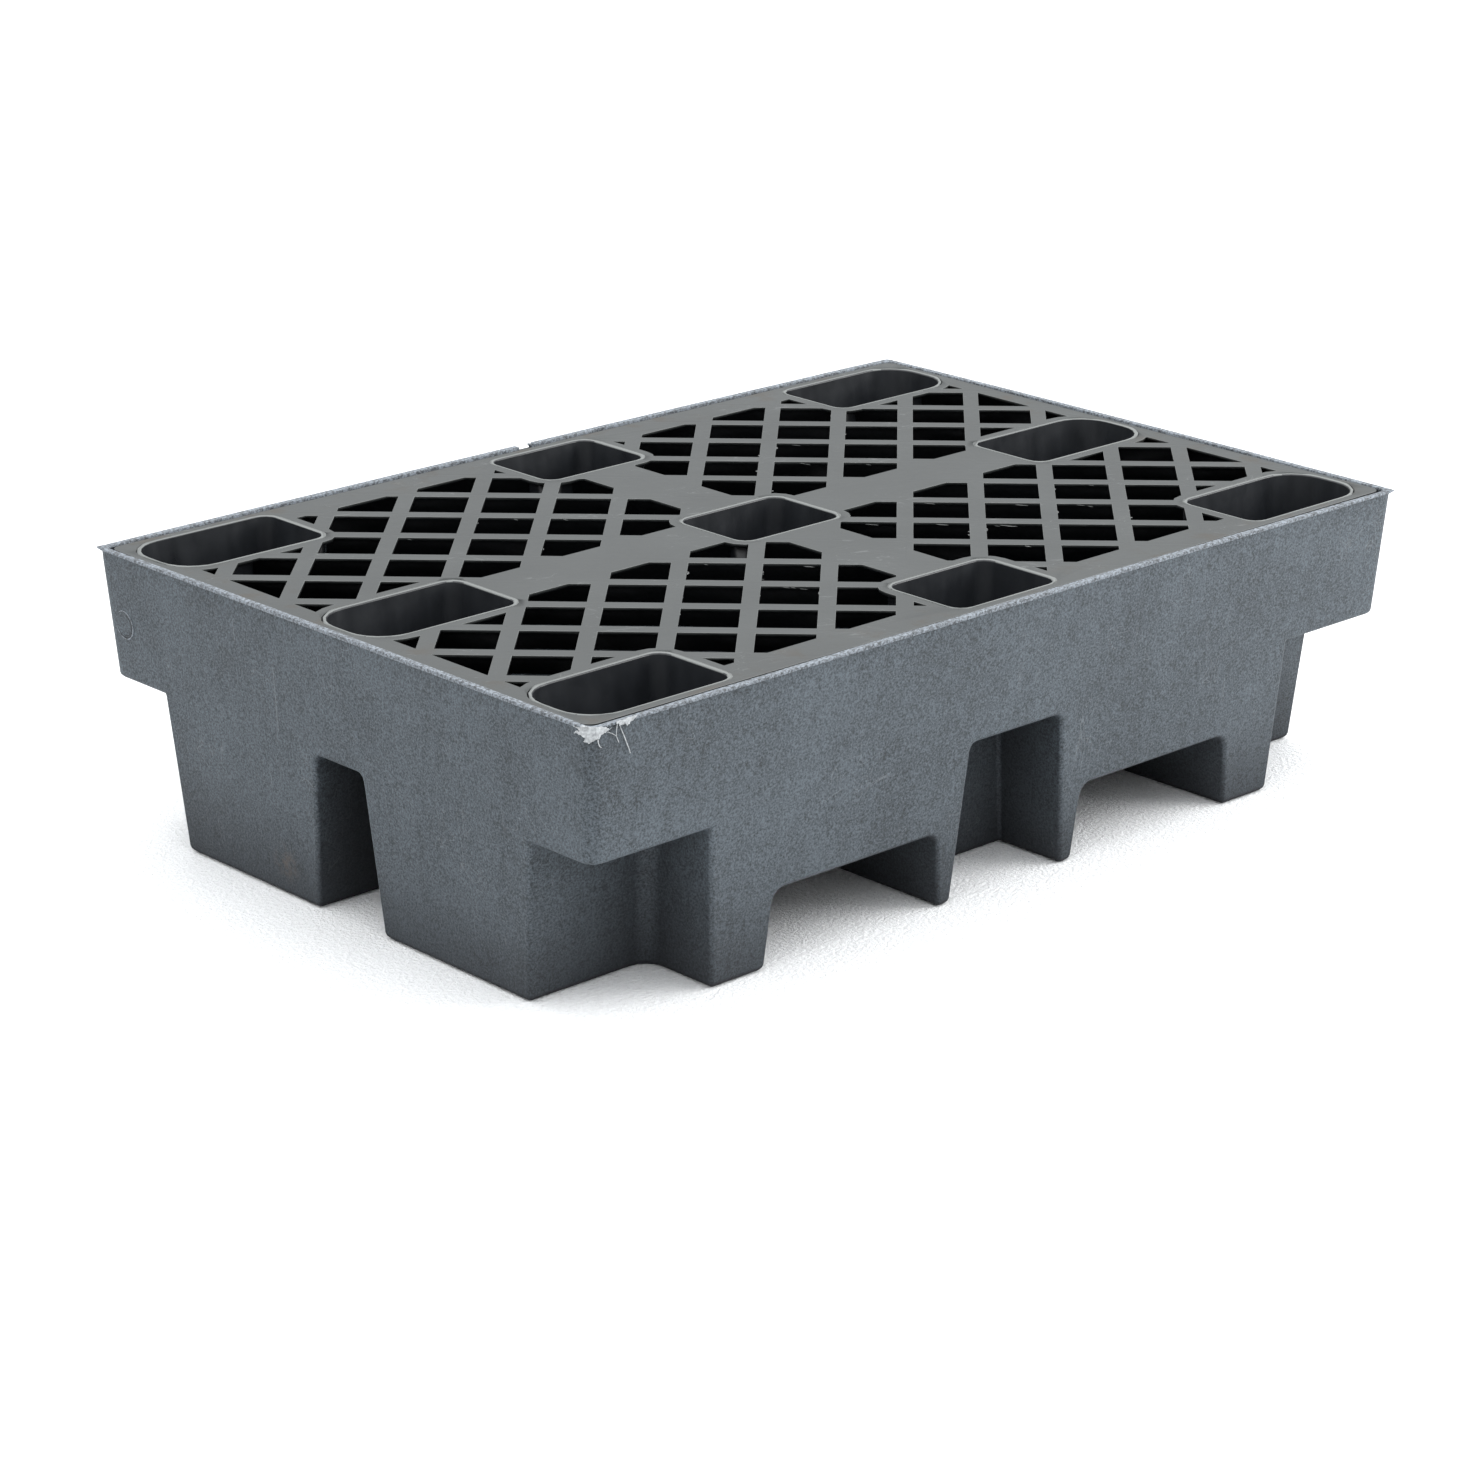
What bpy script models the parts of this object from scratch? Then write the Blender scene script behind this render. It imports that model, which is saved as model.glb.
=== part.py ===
"""Spill containment pallet: a moulded sump tub with a nine-footed grid deck standing inside it.

Units are metres and +Z is up. The origin is on the floor, under the middle of the tub. +X runs along
the long side. The deck lifts straight out of the tub along +Z.
"""

import math

import bmesh
import bpy
from mathutils import Vector

# Tub: outside sizes at the rim, and how far each wall leans in per metre of depth.
TUB_LENGTH = 1.220
TUB_WIDTH = 0.826
TUB_HEIGHT = 0.330
WALL = 0.008
END_DRAFT = 0.063
SIDE_DRAFT = 0.072
TUB_CORNER_RADIUS = 0.016
FLOOR_EDGE_RADIUS = 0.008
OTHER_EDGE_RADIUS = 0.005
INNER_EDGE_RADIUS = 0.004

# Recesses under the nine deck feet. All of them have their ceiling at one height.
SHELF_HEIGHT = 0.181
CORNER_RECESS_X = 0.431
CORNER_RECESS_Y = 0.291
CORNER_DRAFT_X = 0.063
CORNER_DRAFT_Y = 0.095
CORNER_RECESS_RADIUS = 0.020
SLOT_HALF_X = 0.0853
SLOT_HALF_Y = 0.0555
SLOT_DRAFT = 0.088
SLOT_BACK_X = 0.431
SLOT_BACK_Y = 0.298
SLOT_BACK_DRAFT = 0.050
SLOT_RADIUS = 0.008

# Two fork tunnels run across the tub, in at one long side and out at the other.
TUNNEL_HEIGHT = 0.088
TUNNEL_INNER_X = 0.104
TUNNEL_OUTER_X = 0.3565
TUNNEL_DRAFT = 0.095
TUNNEL_RADIUS = 0.013

# A small cut-out in the rim of the back wall.
RIM_CUT_WIDTH = 0.024
RIM_CUT_DEPTH = 0.006

# Deck: a nestable grid plate, hollow underneath, with a skirt and diagonal webs.
DECK_LENGTH = 1.200
DECK_WIDTH = 0.800
DECK_TOP = 0.3275
DECK_THICKNESS = 0.022
DECK_EDGE_DRAFT = 0.002
DECK_CORNER_RADIUS = 0.012
PLATE_THICKNESS = 0.004
SKIRT_WALL = 0.004
WEB_WIDTH = 0.005

# The diagonal grid: bars at 45 degrees, in four windows.
BAR_WIDTH = 0.0186
BAR_PITCH_X = 0.1147
WINDOW_OUTER_X = 0.574
WINDOW_OUTER_Y = 0.354
WINDOW_INNER_X = 0.039
WINDOW_INNER_Y = 0.040
POCKET_BORDER = 0.0105

# Deck feet: nine hollow cups, open at the top, in three columns and three rows.
FOOT_PITCH_X = 0.4925
FOOT_PITCH_Y = 0.3310
END_POCKET_LENGTH = 0.203
MIDDLE_POCKET_LENGTH = 0.161
POCKET_WIDTH = 0.122
POCKET_RADIUS = 0.022
POCKET_END_RADIUS = 0.048
LEDGE_DROP = 0.0025
LEDGE_WIDTH = 0.005
FOOT_TAPER = 0.085
FOOT_WALL = 0.004
SOLE_RADIUS = 0.006

SECTION_X = 0.372
GAP = 0.0003
OVERSHOOT = 0.020
FINE = 1e-5

COLUMNS = (("left", -1), ("centre", 0), ("right", 1))
ROWS = (("front", -1), ("middle", 0), ("back", 1))


def clear_scene():
    """Remove every object that the file opened with."""
    for item in list(bpy.data.objects):
        bpy.data.objects.remove(item, do_unlink=True)


def new_collection(name):
    """Make a collection in the scene."""
    collection = bpy.data.collections.new(name)
    bpy.context.scene.collection.children.link(collection)
    return collection


def moulded_plastic(name, color, roughness):
    """Make a plain plastic material."""
    material = bpy.data.materials.new(name)
    material.use_nodes = True
    shader = material.node_tree.nodes["Principled BSDF"]
    shader.inputs["Base Color"].default_value = (*color, 1.0)
    shader.inputs["Roughness"].default_value = roughness
    shader.inputs["Metallic"].default_value = 0.0
    return material


def add_block(mesh_data, low, high, low_size, high_size=None):
    """Add a block between two heights.

    low and high are the centres of its bottom and top face; the sizes are those faces' X and Y extents.
    """
    high_size = high_size or low_size
    made = bmesh.ops.create_cube(mesh_data, size=2.0)
    for vert in made["verts"]:
        centre, size = (high, high_size) if vert.co.z > 0 else (low, low_size)
        vert.co = Vector((
            centre[0] + vert.co.x * size[0] / 2,
            centre[1] + vert.co.y * size[1] / 2,
            centre[2],
        ))
    return made["verts"]


def edges_between(verts, wanted):
    """List the edges of a block whose two ends pass a test."""
    found = {edge for vert in verts for edge in vert.link_edges}
    return [edge for edge in found if wanted(*(end.co for end in edge.verts))]


def round_edges(mesh_data, edges, radius, segments):
    """Round edges while the shape is still simple."""
    ordered = sorted(edges, key=lambda edge: edge.index)
    bmesh.ops.bevel(
        mesh_data, geom=ordered, offset=radius, offset_type="OFFSET", affect="EDGES",
        segments=segments, profile=0.5, material=-1, clamp_overlap=True,
    )


def round_uprights(mesh_data, verts, radius, segments=4, wanted=None):
    """Round a block's upright edges, or those of them whose middle passes a test."""
    mesh_data.edges.index_update()
    edges = edges_between(
        verts, lambda start, end: abs(start.z - end.z) > (start.xy - end.xy).length
        and (wanted is None or wanted((start + end) / 2)),
    )
    round_edges(mesh_data, edges, radius, segments)


def round_ceiling(mesh_data, verts, radius, along, segments=3):
    """Round a block's two top edges that run along X (along=0) or along Y (along=1)."""
    mesh_data.edges.index_update()
    top = max(vert.co.z for vert in verts)
    edges = edges_between(
        verts, lambda start, end: min(start.z, end.z) > top - FINE
        and abs(start[along] - end[along]) > abs(start[1 - along] - end[1 - along]),
    )
    round_edges(mesh_data, edges, radius, segments)


def to_object(mesh_data, name, collection, material=None):
    """Turn a bmesh into an object."""
    mesh = bpy.data.meshes.new(name)
    mesh_data.to_mesh(mesh)
    mesh_data.free()
    item = bpy.data.objects.new(name, mesh)
    collection.objects.link(item)
    if material:
        mesh.materials.append(material)
    return item


def as_cutter(item):
    """Mark an object as a shape that only cuts others."""
    item.hide_render = True
    item.display_type = "WIRE"
    return item


def cut(item, cutter, operation="DIFFERENCE"):
    """Take a cutter's volume out of an object, or keep only what is inside it."""
    modifier = item.modifiers.new("cut_" + cutter.name, "BOOLEAN")
    modifier.operation = operation
    modifier.solver = "EXACT"
    modifier.object = cutter


def settle(item):
    """Make an object's cuts part of its mesh, and merge the slivers that they leave."""
    graph = bpy.context.evaluated_depsgraph_get()
    mesh = bpy.data.meshes.new_from_object(item.evaluated_get(graph))
    mesh_data = bmesh.new()
    mesh_data.from_mesh(mesh)
    bmesh.ops.remove_doubles(mesh_data, verts=mesh_data.verts, dist=FINE)
    bmesh.ops.dissolve_limit(
        mesh_data, angle_limit=math.radians(0.5), verts=mesh_data.verts, edges=mesh_data.edges,
    )
    mesh_data.to_mesh(mesh)
    mesh_data.free()
    item.modifiers.clear()
    item.data = mesh


def soften(item, radius, floor_radius, floor, top, segments):
    """Round every sharp edge of a settled object but those at its top; the floor's edges have their own radius."""
    mesh_data = bmesh.new()
    mesh_data.from_mesh(item.data)
    weight = mesh_data.edges.layers.float.new("bevel_weight_edge")
    for edge in mesh_data.edges:
        heights = [vert.co.z for vert in edge.verts]
        sharp = edge.calc_face_angle() > math.radians(38)
        if sharp and max(heights) < top:
            edge[weight] = 1.0 if max(heights) < floor + FINE else radius / floor_radius
    mesh_data.to_mesh(item.data)
    mesh_data.free()
    modifier = item.modifiers.new("soft_edges", "BEVEL")
    modifier.limit_method = "WEIGHT"
    modifier.width = floor_radius
    modifier.segments = segments
    modifier.use_clamp_overlap = False


def divide(item, name, collection, cutters):
    """Split an object into eight simple nodes, a hair apart, and remove the whole."""
    settle(item)
    reach = TUB_LENGTH / 2 + OVERSHOOT
    for row_name, side_y in (("front", -1), ("back", 1)):
        for column_name, side_x in (("left", -1), ("right", 1)):
            for part_name, low, high in (("inner", 0.0, SECTION_X), ("outer", SECTION_X, reach)):
                label = "_".join((name, part_name, row_name, column_name))
                centre = (side_x * (low + high) / 2, side_y * (reach + GAP) / 2)
                size = (high - low - GAP, reach)
                mesh_data = bmesh.new()
                add_block(mesh_data, (*centre, -OVERSHOOT), (*centre, TUB_HEIGHT + OVERSHOOT), size)
                part = bpy.data.objects.new(label, item.data)
                collection.objects.link(part)
                cut(part, as_cutter(to_object(mesh_data, label + "_region", cutters)), "INTERSECT")
    bpy.data.objects.remove(item, do_unlink=True)


def tub_body(name, collection, inset, floor):
    """Make the tub's drafted block, set in from its outside by inset, from floor up past the rim."""
    top = TUB_HEIGHT + OVERSHOOT

    def size_at(height):
        depth = TUB_HEIGHT - height
        return (
            TUB_LENGTH - 2 * (END_DRAFT * depth + inset),
            TUB_WIDTH - 2 * (SIDE_DRAFT * depth + inset),
        )

    mesh_data = bmesh.new()
    verts = add_block(mesh_data, (0, 0, floor), (0, 0, top), size_at(floor), size_at(top))
    round_uprights(mesh_data, verts, TUB_CORNER_RADIUS - inset)
    return to_object(mesh_data, name, collection)


def add_recess(mesh_data, ceiling, x_range, y_range):
    """Add a tapered block from under the floor up to a ceiling; each range gives (low, high) at a height."""
    heights = (-OVERSHOOT, ceiling)
    centres, sizes = [], []
    for height in heights:
        (low_x, high_x), (low_y, high_y) = sorted(x_range(height)), sorted(y_range(height))
        centres.append(((low_x + high_x) / 2, (low_y + high_y) / 2, height))
        sizes.append((high_x - low_x, high_y - low_y))
    return add_block(mesh_data, centres[0], centres[1], sizes[0], sizes[1])


def corner_recesses(name, collection, grow):
    """Make the tool for the recesses under the tub's four corners."""
    reach_x = TUB_LENGTH / 2 + OVERSHOOT
    reach_y = TUB_WIDTH / 2 + OVERSHOOT
    mesh_data = bmesh.new()
    for side_x in (-1, 1):
        for side_y in (-1, 1):
            verts = add_recess(
                mesh_data, SHELF_HEIGHT + grow,
                lambda z: (side_x * (CORNER_RECESS_X + CORNER_DRAFT_X * z - grow), side_x * reach_x),
                lambda z: (side_y * (CORNER_RECESS_Y + CORNER_DRAFT_Y * z - grow), side_y * reach_y),
            )
            round_uprights(
                mesh_data, verts, CORNER_RECESS_RADIUS + grow,
                wanted=lambda middle: abs(middle.x) < reach_x - FINE and abs(middle.y) < reach_y - FINE,
            )
    return as_cutter(to_object(mesh_data, name, collection))


def slots(name, collection, grow):
    """Make the tool for the slots at the middle of each side and for the recess under the centre foot."""
    reach_x = TUB_LENGTH / 2 + OVERSHOOT
    reach_y = TUB_WIDTH / 2 + OVERSHOOT
    ceiling = SHELF_HEIGHT + grow
    mesh_data = bmesh.new()

    def across(half):
        return lambda z: (-(half - SLOT_DRAFT * z + grow), half - SLOT_DRAFT * z + grow)

    def inward(back, reach, side):
        return lambda z: (side * (back + SLOT_BACK_DRAFT * z - grow), side * reach)

    for side in (-1, 1):
        verts = add_recess(mesh_data, ceiling, across(SLOT_HALF_X), inward(SLOT_BACK_Y, reach_y, side))
        round_ceiling(mesh_data, verts, SLOT_RADIUS + grow, along=1)
        verts = add_recess(mesh_data, ceiling, inward(SLOT_BACK_X, reach_x, side), across(SLOT_HALF_Y))
        round_ceiling(mesh_data, verts, SLOT_RADIUS + grow, along=0)
    add_recess(mesh_data, ceiling, across(SLOT_HALF_X), across(SLOT_HALF_Y))
    return as_cutter(to_object(mesh_data, name, collection))


def tunnels(name, collection, grow):
    """Make the tool for the two fork tunnels."""
    reach_y = TUB_WIDTH / 2 + OVERSHOOT
    mesh_data = bmesh.new()
    for side in (-1, 1):
        verts = add_recess(
            mesh_data, TUNNEL_HEIGHT + grow,
            lambda z: (
                side * (TUNNEL_INNER_X + TUNNEL_DRAFT * z - grow),
                side * (TUNNEL_OUTER_X - TUNNEL_DRAFT * z + grow),
            ),
            lambda z: (-reach_y, reach_y),
        )
        round_ceiling(mesh_data, verts, TUNNEL_RADIUS + grow, along=1)
    return as_cutter(to_object(mesh_data, name, collection))


def fin_cores(name, collection, grow):
    """Make the tool that keeps the narrow fins between slots and tunnels solid."""
    reach_y = TUB_WIDTH / 2 + OVERSHOOT
    half_x = TUNNEL_INNER_X + 2 * TUNNEL_RADIUS
    slot_back = SLOT_BACK_Y - grow
    centre_half = SLOT_HALF_Y + grow
    mesh_data = bmesh.new()
    for low_y, high_y in ((-reach_y, -slot_back), (-centre_half, centre_half), (slot_back, reach_y)):
        middle = (low_y + high_y) / 2
        size = (2 * half_x, high_y - low_y)
        add_block(mesh_data, (0, middle, -OVERSHOOT), (0, middle, TUNNEL_HEIGHT + grow), size)
    return as_cutter(to_object(mesh_data, name, collection))


def shape_underside(item, label, collection, grow):
    """Cut the recesses, slots and tunnels, grown by grow, out of a tub block."""
    cut(item, corner_recesses(label + "_corner_recesses", collection, grow))
    cut(item, slots(label + "_slots", collection, grow))
    cut(item, tunnels(label + "_tunnels", collection, grow))
    if grow:
        cut(item, fin_cores(label + "_fin_cores", collection, grow))
    settle(item)


def rim_trim(collection):
    """Make the tool that levels the rim and leaves the cut-out in the back wall."""
    size = (TUB_LENGTH + 4 * OVERSHOOT, TUB_WIDTH + 4 * OVERSHOOT)
    mesh_data = bmesh.new()
    add_block(mesh_data, (0, 0, TUB_HEIGHT), (0, 0, TUB_HEIGHT + 2 * OVERSHOOT), size)
    level = as_cutter(to_object(mesh_data, "rim_level", collection))
    mesh_data = bmesh.new()
    low = (0, TUB_WIDTH / 2, TUB_HEIGHT - RIM_CUT_DEPTH)
    add_block(mesh_data, low, (0, TUB_WIDTH / 2, TUB_HEIGHT + OVERSHOOT), (RIM_CUT_WIDTH, 2 * OVERSHOOT))
    return level, as_cutter(to_object(mesh_data, "rim_cut_out", collection))


def make_tub(parts, cutters, material):
    """The sump tub: one moulding, open at the top, with a wall of even thickness, in eight sections."""
    hollow = as_cutter(tub_body("hollow", cutters, WALL, WALL))
    shape_underside(hollow, "inner", cutters, WALL)
    soften(hollow, INNER_EDGE_RADIUS, INNER_EDGE_RADIUS, WALL, TUB_HEIGHT + FINE, segments=2)
    tub = tub_body("tub", parts, 0.0, 0.0)
    shape_underside(tub, "outer", cutters, 0.0)
    soften(tub, OTHER_EDGE_RADIUS, FLOOR_EDGE_RADIUS, 0.0, TUB_HEIGHT + FINE, segments=3)
    tub.data.materials.append(material)
    for trim in rim_trim(cutters):
        cut(tub, trim)
    cut(tub, hollow)
    divide(tub, "tub", parts, cutters)


def pocket_length(column):
    """The length of the pockets in a column of feet."""
    return END_POCKET_LENGTH if column else MIDDLE_POCKET_LENGTH


def add_pocket(mesh_data, column, row, top, bottom, grow, taper=0.0):
    """Add the rounded block of one pocket, grown by grow; taper narrows it per metre below the deck."""
    centre = (column * FOOT_PITCH_X, row * FOOT_PITCH_Y)

    def size_at(height):
        shrink = 2 * taper * (DECK_TOP - height)
        return (pocket_length(column) + 2 * grow - shrink, POCKET_WIDTH + 2 * grow - shrink)

    def at_outer_end(middle):
        return (middle.x - centre[0]) * column > 0

    verts = add_block(mesh_data, (*centre, bottom), (*centre, top), size_at(bottom), size_at(top))
    round_uprights(mesh_data, verts, POCKET_RADIUS + grow, wanted=lambda middle: not at_outer_end(middle))
    if column:
        remaining = [vert for vert in verts if vert.is_valid]
        round_uprights(mesh_data, remaining, POCKET_END_RADIUS + grow, segments=6, wanted=at_outer_end)


def round_sole(mesh_data, bottom, radius):
    """Round the edges around the bottom of a foot."""
    mesh_data.edges.index_update()
    edges = [edge for edge in mesh_data.edges if max(vert.co.z for vert in edge.verts) < bottom + FINE]
    round_edges(mesh_data, edges, radius, segments=2)


def all_pockets(name, collection, top, bottom, grow):
    """Make one tool of the nine pockets."""
    mesh_data = bmesh.new()
    for _, column in COLUMNS:
        for _, row in ROWS:
            add_pocket(mesh_data, column, row, top, bottom, grow)
    return as_cutter(to_object(mesh_data, name, collection))


def diagonal_bars(name, collection, direction, width):
    """Make one family of parallel bars across the deck; direction is 1 or -1 for the way they slope."""
    mesh_data = bmesh.new()
    slant = Vector((1, direction)).normalized()
    across = Vector((-slant.y, slant.x))
    spacing = BAR_PITCH_X * abs(across.x)
    count = int(DECK_LENGTH / spacing / 2)
    for index in range(-count, count + 1):
        verts = add_block(
            mesh_data, (0, 0, DECK_TOP - 3 * OVERSHOOT), (0, 0, DECK_TOP + 3 * OVERSHOOT),
            (2 * DECK_LENGTH, width),
        )
        for vert in verts:
            place = slant * vert.co.x + across * (vert.co.y + index * spacing)
            vert.co = (*place, vert.co.z)
    return as_cutter(to_object(mesh_data, name, collection))


def grid_windows(cutters):
    """Make the tool for the grid's holes: four windows less the bars and the pockets' borders."""
    mesh_data = bmesh.new()
    size = (WINDOW_OUTER_X - WINDOW_INNER_X, WINDOW_OUTER_Y - WINDOW_INNER_Y)
    low, high = DECK_TOP - DECK_THICKNESS - OVERSHOOT, DECK_TOP + OVERSHOOT
    for side_x in (-1, 1):
        for side_y in (-1, 1):
            place = (
                side_x * (WINDOW_OUTER_X + WINDOW_INNER_X) / 2,
                side_y * (WINDOW_OUTER_Y + WINDOW_INNER_Y) / 2,
            )
            add_block(mesh_data, (*place, low), (*place, high), size)
    windows = as_cutter(to_object(mesh_data, "windows", cutters))
    cut(windows, all_pockets("pocket_borders", cutters, high + OVERSHOOT, low - OVERSHOOT, POCKET_BORDER))
    cut(windows, diagonal_bars("rising_bars", cutters, 1, BAR_WIDTH))
    cut(windows, diagonal_bars("falling_bars", cutters, -1, BAR_WIDTH))
    return windows


def underside_cells(cutters):
    """Make the tool that hollows the deck from below and leaves its plate, skirt and webs."""
    mesh_data = bmesh.new()
    low, high = DECK_TOP - DECK_THICKNESS - OVERSHOOT, DECK_TOP - PLATE_THICKNESS
    inset = 2 * (SKIRT_WALL + DECK_EDGE_DRAFT)
    verts = add_block(mesh_data, (0, 0, low), (0, 0, high), (DECK_LENGTH - inset, DECK_WIDTH - inset))
    round_uprights(mesh_data, verts, DECK_CORNER_RADIUS - SKIRT_WALL)
    cells = as_cutter(to_object(mesh_data, "underside_cells", cutters))
    cut(cells, diagonal_bars("rising_webs", cutters, 1, WEB_WIDTH))
    cut(cells, diagonal_bars("falling_webs", cutters, -1, WEB_WIDTH))
    return cells


def make_grid(parts, cutters, material):
    """The deck's top: a plate with nine pocket holes and a diagonal grid, on a skirt and webs."""
    bottom = DECK_TOP - DECK_THICKNESS
    mesh_data = bmesh.new()
    bottom_size = (DECK_LENGTH - 2 * DECK_EDGE_DRAFT, DECK_WIDTH - 2 * DECK_EDGE_DRAFT)
    verts = add_block(mesh_data, (0, 0, bottom), (0, 0, DECK_TOP), bottom_size, (DECK_LENGTH, DECK_WIDTH))
    round_uprights(mesh_data, verts, DECK_CORNER_RADIUS)
    grid = to_object(mesh_data, "deck_grid", parts, material)
    cut(grid, underside_cells(cutters))
    cut(grid, all_pockets("pocket_holes", cutters, DECK_TOP + OVERSHOOT, bottom - OVERSHOOT, 0.0))
    cut(grid, grid_windows(cutters))
    return grid


def make_foot(name, column, row, parts, cutters, material):
    """One deck foot: a tapered cup that fills its pocket hole, with a narrow ledge around its mouth."""
    mouth = DECK_TOP - LEDGE_DROP
    sole = SHELF_HEIGHT + WALL + GAP
    outside = bmesh.new()
    add_pocket(outside, column, row, mouth, sole, -GAP, FOOT_TAPER)
    round_sole(outside, sole, SOLE_RADIUS)
    foot = to_object(outside, name, parts, material)
    inside = bmesh.new()
    add_pocket(inside, column, row, mouth + OVERSHOOT, sole + FOOT_WALL, -GAP - LEDGE_WIDTH, FOOT_TAPER)
    round_sole(inside, sole + FOOT_WALL, SOLE_RADIUS)
    cut(foot, as_cutter(to_object(inside, name + "_inside", cutters)))
    return foot


def main():
    """Build the pallet."""
    clear_scene()
    parts = new_collection("spill_containment_pallet")
    cutters = new_collection("cutters")
    tub_plastic = moulded_plastic("tub_plastic", (0.110, 0.128, 0.145), 0.62)
    deck_plastic = moulded_plastic("deck_plastic", (0.150, 0.158, 0.152), 0.48)
    make_tub(parts, cutters, tub_plastic)

    lift = bpy.data.objects.new("deck_lift", None)
    lift.location = (0, 0, DECK_TOP)
    parts.objects.link(lift)
    bpy.context.view_layer.update()
    deck = [make_grid(parts, cutters, deck_plastic)]
    for row_name, row in ROWS:
        for column_name, column in COLUMNS:
            name = "foot_" + row_name + "_" + column_name
            deck.append(make_foot(name, column, row, parts, cutters, deck_plastic))
    for item in deck:
        item.parent = lift
        item.matrix_parent_inverse = lift.matrix_world.inverted()


main()
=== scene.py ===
"""Spill containment pallet: finishes a moulded sump tub and its lift-out grid deck, on a plain stage."""

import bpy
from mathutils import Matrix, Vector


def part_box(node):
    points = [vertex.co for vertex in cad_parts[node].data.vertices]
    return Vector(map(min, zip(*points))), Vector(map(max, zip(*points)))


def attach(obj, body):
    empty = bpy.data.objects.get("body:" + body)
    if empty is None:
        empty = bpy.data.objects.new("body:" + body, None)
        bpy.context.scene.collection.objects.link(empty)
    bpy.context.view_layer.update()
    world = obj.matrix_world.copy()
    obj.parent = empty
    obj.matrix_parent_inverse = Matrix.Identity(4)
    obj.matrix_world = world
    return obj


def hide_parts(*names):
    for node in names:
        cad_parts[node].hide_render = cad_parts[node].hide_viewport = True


bl_info = {
    "name": "Spill Containment Pallet",
    "version": (1, 0, 0),
    "blender": (4, 5, 0),
    "location": "3D View > Sidebar > Spill Pallet",
    "description": "Finishes a moulded sump tub and its grid deck, and lays out their stage",
    "category": "Add Mesh",
}

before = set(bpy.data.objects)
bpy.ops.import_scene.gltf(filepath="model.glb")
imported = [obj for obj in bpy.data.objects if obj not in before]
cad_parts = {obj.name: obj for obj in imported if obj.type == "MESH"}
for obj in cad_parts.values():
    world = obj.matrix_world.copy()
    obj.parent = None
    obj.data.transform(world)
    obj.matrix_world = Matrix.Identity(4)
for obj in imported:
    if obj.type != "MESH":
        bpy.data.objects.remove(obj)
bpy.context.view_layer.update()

import math
import random

import bmesh
import bpy
from bpy.props import FloatProperty, FloatVectorProperty, IntProperty, PointerProperty
from bpy.types import Operator, Panel, PropertyGroup
from mathutils import Vector, noise

TUB = sorted(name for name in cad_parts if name.startswith("tub_"))
TUB_LOW = Vector(tuple(min(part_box(name)[0][axis] for name in TUB) for axis in range(3)))
TUB_HIGH = Vector(tuple(max(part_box(name)[1][axis] for name in TUB) for axis in range(3)))
DECK_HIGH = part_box("deck_grid")[1]
FEET = sorted(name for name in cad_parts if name.startswith("foot_"))

TUB_BODY = "sump"
DECK_BODY = "deck"

# How far the short and the long walls lean inwards for each metre down.
END_DRAFT = 0.063
SIDE_DRAFT = 0.072
CORNER_RADIUS = 0.016
BAR_PITCH = 0.1147
BAR_WIDTH = 0.0186

# The tub's sections meet at these places along an axis, a seam's width apart.
SEAMS = ((0, 0.0), (1, 0.0), (0, 0.372), (0, -0.372))
SEAM_WIDTH = 0.0003
WELD = 0.00045
FINE = 1e-5

# The torn film. Its outlines are given along the rim from the front left corner, and down from its top.
FILM_CELL = 0.0005
FILM_ROOM = 0.0005
FILM_THICKNESS = 0.0003
FILM_OUTLINE = (
    (-0.0215, 0.0025), (-0.0140, 0.0025), (-0.0090, 0.0000), (-0.0095, -0.0050), (-0.0060, -0.0030),
    (0.0000, -0.0010), (0.0085, 0.0000), (0.0160, 0.0010), (0.0215, 0.0045), (0.0210, 0.0075),
    (0.0137, 0.0088), (0.0085, 0.0125), (0.0045, 0.0135), (0.0000, 0.0170), (-0.0065, 0.0155),
    (-0.0045, 0.0120), (-0.0100, 0.0095), (-0.0210, 0.0095), (-0.0150, 0.0065), (-0.0110, 0.0045),
)
FLAP_OUTLINE = (
    (0.0310, 0.0000), (0.0440, -0.0020), (0.0600, -0.0010), (0.0520, 0.0035),
    (0.0440, 0.0080), (0.0425, 0.0045), (0.0360, 0.0060), (0.0325, 0.0030),
)

# Fibres on the front wall: a half thickness, then points given as X, Z and how far they stand off it.
FIBRES = (
    (0.00055, (
        (-0.5720, 0.3270, 0.0006), (-0.5705, 0.3225, 0.0016), (-0.5660, 0.3130, 0.0014),
        (-0.5615, 0.3030, 0.0010), (-0.5585, 0.2965, 0.0012), (-0.5575, 0.2925, 0.0018),
    )),
    (0.00050, (
        (-0.5745, 0.3265, 0.0006), (-0.5757, 0.3200, 0.0012), (-0.5757, 0.3145, 0.0012),
        (-0.5720, 0.3070, 0.0008),
    )),
    (0.00055, ((-0.5870, 0.3215, 0.0006), (-0.5810, 0.3185, 0.0012), (-0.5754, 0.3145, 0.0010))),
    (0.00065, ((-0.5870, 0.3225, 0.0006), (-0.5810, 0.3250, 0.0012), (-0.5745, 0.3262, 0.0010))),
    (0.00060, (
        (-0.5990, 0.3160, 0.0006), (-0.5985, 0.3120, 0.0016), (-0.5970, 0.3090, 0.0018),
        (-0.5945, 0.3070, 0.0010),
    )),
)

# The ring mark's rings: share of its radius, half width, height, first and last angle, and material. The
# outer ring's pale rim plastic is a painted highlight, and the inner rings' dark plastic is painted shade.
RINGS = (
    (1.0, 0.0007, 0.0008, 50, 345, 0),
    (0.925, 0.0006, 0.0004, 60, 335, 1),
    (0.76, 0.0004, 0.0003, 85, 300, 1),
)
RING_STEPS = 44

# The rim is worn back under the torn film: fully up to TORN_FULL from the corner, not at all at TORN_REACH.
TORN_FULL = 0.050
TORN_REACH = 0.085
TORN_DEPTH = 0.0135
OUTER_SKIN = 0.0045
CORNER_AREA = 0.012

# The groove under the rim's band, and the first height below it that keeps its place.
GROOVE_DROP = 0.0008
GROOVE_FADE = 0.0082

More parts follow.
